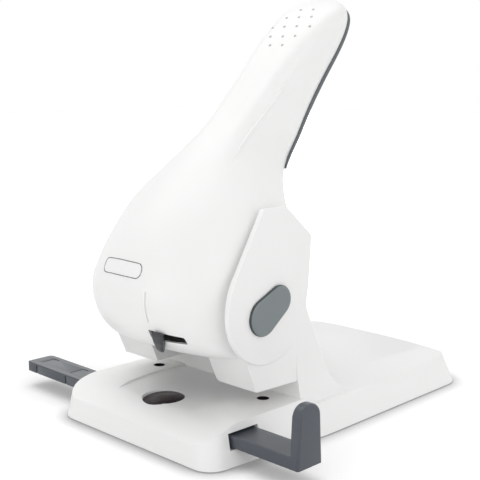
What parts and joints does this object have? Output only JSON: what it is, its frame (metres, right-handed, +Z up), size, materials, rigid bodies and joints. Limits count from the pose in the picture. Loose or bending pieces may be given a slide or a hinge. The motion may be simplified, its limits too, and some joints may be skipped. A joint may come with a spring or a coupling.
{
  "type": "two-hole desk punch",
  "caption": "Heavy-duty lever-operated two-hole paper punch with a bulbous lever cover, side housings, sliding paper guide, lock slider and chip tray.",
  "frame": {"origin": "on the desk plane, midway between the two punch holes", "axes": "+X across, towards the guide bar's stop; -Y towards the paper entry, +Y to the rear; +Z up"},
  "size_m": [0.2105, 0.2116, 0.2222],
  "materials": {
    "white_abs": "satin moulded white ABS",
    "dark_abs": "fine-grained dark grey plastic",
    "lock_black": "black acetal",
    "grip_grey": "dark grey soft grip",
    "smoked_lens": "smoked clear plastic",
    "tray_grey": "dark grey polypropylene",
    "foot_rubber": "black rubber",
    "zinc_steel": "zinc-plated steel",
    "hard_steel": "hardened ground steel",
    "spring_steel": "spring wire",
    "bronze_bush": "sintered bronze"
  },
  "bodies": {
    "base": {"axle_clips": "spring_steel", "bar_retainer": "zinc_steel", "base_shell": "white_abs", "die_plate": "hard_steel", "die_screws": "zinc_steel", "frame_screws": "zinc_steel", "guide_bush_left": "bronze_bush", "guide_bush_right": "bronze_bush", "housing_screws": "zinc_steel", "oval_cap_left": "dark_abs", "oval_cap_right": "dark_abs", "pivot_axle": "hard_steel", "punch_frame": "zinc_steel", "retainer_screws": "zinc_steel", "return_spring_left": "spring_steel", "return_spring_right": "spring_steel", "side_housing_left": "white_abs", "side_housing_right": "white_abs", "window_lens": "smoked_lens"},
    "lever": {"lever_shell": "white_abs", "grip_insert": "grip_grey", "lever_bracket": "zinc_steel", "bracket_screws": "zinc_steel", "roller_axle": "hard_steel"},
    "lock": {"lock_slider": "lock_black"},
    "roller": {"cam_roller": "hard_steel"},
    "press": {"press_bar": "zinc_steel", "pin_clips": "spring_steel", "punch_pin_right": "hard_steel", "punch_pin_left": "hard_steel"},
    "guide": {"guide_bar": "dark_abs"},
    "tray": {"chip_tray": "tray_grey", "rubber_feet": "foot_rubber"}
  },
  "joints": [
    {"name": "lever_pivot", "type": "hinge", "parent": "base", "child": "lever", "pos_m": [0, -0.012, 0.068], "axis": [-1, 0, 0], "range_deg": [0, 54], "stiffness_Nm_per_rad": 0.6, "springref_deg": -34.38},
    {"name": "punch_stroke", "type": "slide", "parent": "base", "child": "press", "axis": [0, 0, -1], "range_m": [0, 0.0129], "deforming": ["return_spring_right", "return_spring_left"]},
    {"name": "roller_turn", "type": "hinge", "parent": "lever", "child": "roller", "pos_m": [0, 0.00065, 0.07445], "axis": [-1, 0, 0], "range_deg": [-54.1, 0]},
    {"name": "lock_slide", "type": "slide", "parent": "lever", "child": "lock", "axis": [0.9342, 0.3567, 0], "range_m": [0, 0.011]},
    {"name": "guide_slide", "type": "slide", "parent": "base", "child": "guide", "axis": [1, 0, 0], "range_m": [-0.03, 0.045]},
    {"name": "tray_release", "type": "slide", "parent": "base", "child": "tray", "axis": [0, 0, -1], "range_m": [0, 0.025]}
  ],
  "couplings": [
    {"joint": "punch_stroke", "follows": "lever_pivot", "m_per_rad": 0.01368},
    {"joint": "roller_turn", "follows": "lever_pivot", "ratio": -1}
  ]
}
